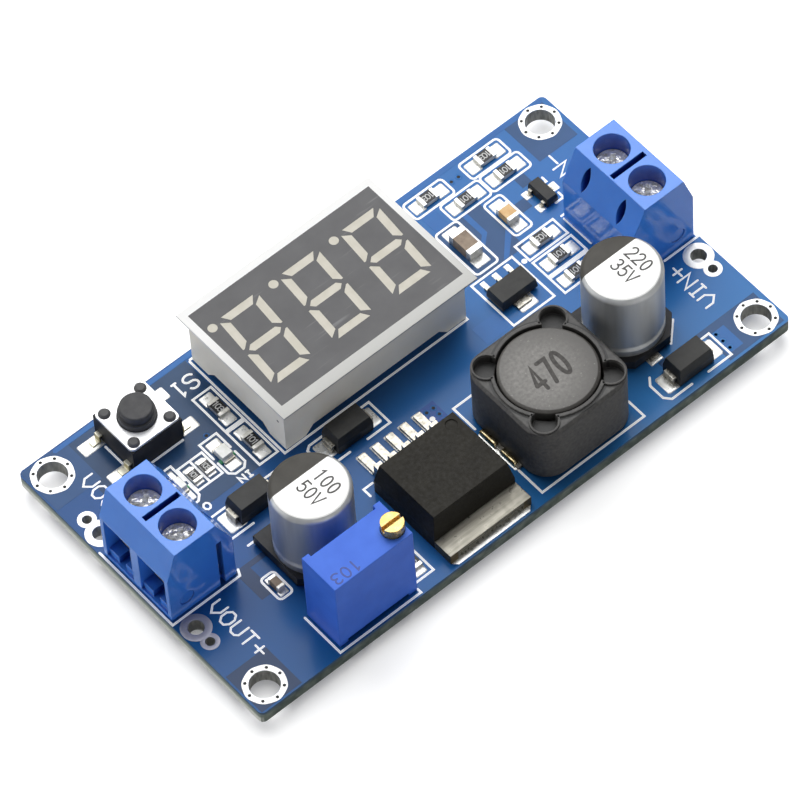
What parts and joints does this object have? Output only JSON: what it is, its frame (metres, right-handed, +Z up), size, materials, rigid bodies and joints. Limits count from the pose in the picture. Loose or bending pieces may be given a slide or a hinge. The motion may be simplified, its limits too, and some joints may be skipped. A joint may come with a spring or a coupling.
{
  "type": "voltage converter module",
  "caption": "Blue voltage converter board with a segment display, push button, trimmer, shielded inductor, capacitors and a screw terminal block at each end.",
  "frame": {"origin": "middle of the four mounting holes on the underside of the board", "axes": "+X along the board from the output end to the input end, +Y towards the display's long edge, +Z up out of the component side"},
  "size_m": [0.066, 0.036, 0.0139],
  "materials": {
    "solder_mask": "glossy blue solder mask on glass-epoxy",
    "solder": "bright solder",
    "terminal_plastic": "satin moulded blue",
    "zinc_steel": "zinc plated",
    "tinned_metal": "bright tin plating",
    "display_shell": "satin moulded white",
    "display_film": "matt printed film, grey with a white border",
    "segment_resin": "milky resin",
    "display_resin": "cast resin",
    "black_plastic": "moulded black",
    "button_plastic": "moulded dark grey",
    "cover_steel": "bright plated sheet",
    "ferrite": "sintered ferrite, mottled dark grey",
    "copper_wire": "enamelled copper",
    "aluminium_can": "satin drawn aluminium",
    "moulding_compound": "moulded epoxy compound",
    "trimmer_plastic": "satin moulded blue",
    "brass": "turned brass",
    "resistor_film": "glassy black overcoat",
    "chip_ceramic": "sintered tan ceramic",
    "lamp_resin": "clear and white resin"
  },
  "bodies": {
    "module": {"board": "solder_mask", "solder_joints": "solder", "output_terminal_block": "terminal_plastic", "input_terminal_block": "terminal_plastic", "output_contacts": "tinned_metal", "input_contacts": "tinned_metal", "display_shell": "display_shell", "display_film": "display_film", "display_segments": "segment_resin", "display_base": "display_resin", "display_pins": "tinned_metal", "switch_body": "black_plastic", "switch_cover": "cover_steel", "switch_dome": "cover_steel", "switch_legs": "tinned_metal", "inductor_shield": "ferrite", "inductor_core": "ferrite", "inductor_winding": "copper_wire", "inductor_terminals": "tinned_metal", "output_capacitor_can": "aluminium_can", "output_capacitor_base": "black_plastic", "output_capacitor_leads": "tinned_metal", "input_capacitor_can": "aluminium_can", "input_capacitor_base": "black_plastic", "input_capacitor_leads": "tinned_metal", "regulator_body": "moulding_compound", "regulator_tab": "tinned_metal", "regulator_pins": "tinned_metal", "trimmer_case": "trimmer_plastic", "trimmer_pins": "tinned_metal", "diode_bodies": "moulding_compound", "diode_leads": "tinned_metal", "supply_body": "moulding_compound", "supply_leads": "tinned_metal", "transistor_body": "moulding_compound", "transistor_leads": "tinned_metal", "resistor_bodies": "resistor_film", "resistor_ends": "tinned_metal", "ceramic_bodies": "chip_ceramic", "ceramic_ends": "tinned_metal", "led_bodies": "lamp_resin", "led_ends": "tinned_metal", "controller_body": "moulding_compound", "controller_leads": "tinned_metal"},
    "switch_button": {"switch_button": "button_plastic"},
    "trimmer_screw": {"trimmer_screw": "brass"},
    "output_plus_screw": {"output_plus_screw": "zinc_steel"},
    "output_plus_clamp": {"output_plus_clamp": "zinc_steel"},
    "output_minus_screw": {"output_minus_screw": "zinc_steel"},
    "output_minus_clamp": {"output_minus_clamp": "zinc_steel"},
    "input_plus_screw": {"input_plus_screw": "zinc_steel"},
    "input_plus_clamp": {"input_plus_clamp": "zinc_steel"},
    "input_minus_screw": {"input_minus_screw": "zinc_steel"},
    "input_minus_clamp": {"input_minus_clamp": "zinc_steel"}
  },
  "joints": [
    {"name": "button_press", "type": "slide", "parent": "module", "child": "switch_button", "axis": [0, 0, -1], "range_m": [0, 0.00025], "stiffness_N_per_m": 3000},
    {"name": "trimmer_turn", "type": "hinge", "parent": "module", "child": "trimmer_screw", "pos_m": [-0.01445, -0.0156, 0.0113], "axis": [0, 0, 1], "continuous": true},
    {"name": "output_plus_turn", "type": "hinge", "parent": "module", "child": "output_plus_screw", "pos_m": [-0.029, -0.00208, 0.0092], "axis": [0, 0, -1], "range_deg": [0, 1080]},
    {"name": "output_plus_lift", "type": "slide", "parent": "module", "child": "output_plus_clamp", "axis": [0, 0, 1], "range_m": [0, 0.0015]},
    {"name": "output_minus_turn", "type": "hinge", "parent": "module", "child": "output_minus_screw", "pos_m": [-0.029, 0.00298, 0.0092], "axis": [0, 0, -1], "range_deg": [0, 1080]},
    {"name": "output_minus_lift", "type": "slide", "parent": "module", "child": "output_minus_clamp", "axis": [0, 0, 1], "range_m": [0, 0.0015]},
    {"name": "input_plus_turn", "type": "hinge", "parent": "module", "child": "input_plus_screw", "pos_m": [0.029, -0.00208, 0.0092], "axis": [0, 0, -1], "range_deg": [0, 1080]},
    {"name": "input_plus_lift", "type": "slide", "parent": "module", "child": "input_plus_clamp", "axis": [0, 0, 1], "range_m": [0, 0.0015]},
    {"name": "input_minus_turn", "type": "hinge", "parent": "module", "child": "input_minus_screw", "pos_m": [0.029, 0.00298, 0.0092], "axis": [0, 0, -1], "range_deg": [0, 1080]},
    {"name": "input_minus_lift", "type": "slide", "parent": "module", "child": "input_minus_clamp", "axis": [0, 0, 1], "range_m": [0, 0.0015]}
  ],
  "couplings": [
    {"joint": "output_plus_turn", "follows": "output_plus_lift", "rad_per_m": 12566},
    {"joint": "output_minus_turn", "follows": "output_minus_lift", "rad_per_m": 12566},
    {"joint": "input_plus_turn", "follows": "input_plus_lift", "rad_per_m": 12566},
    {"joint": "input_minus_turn", "follows": "input_minus_lift", "rad_per_m": 12566}
  ]
}
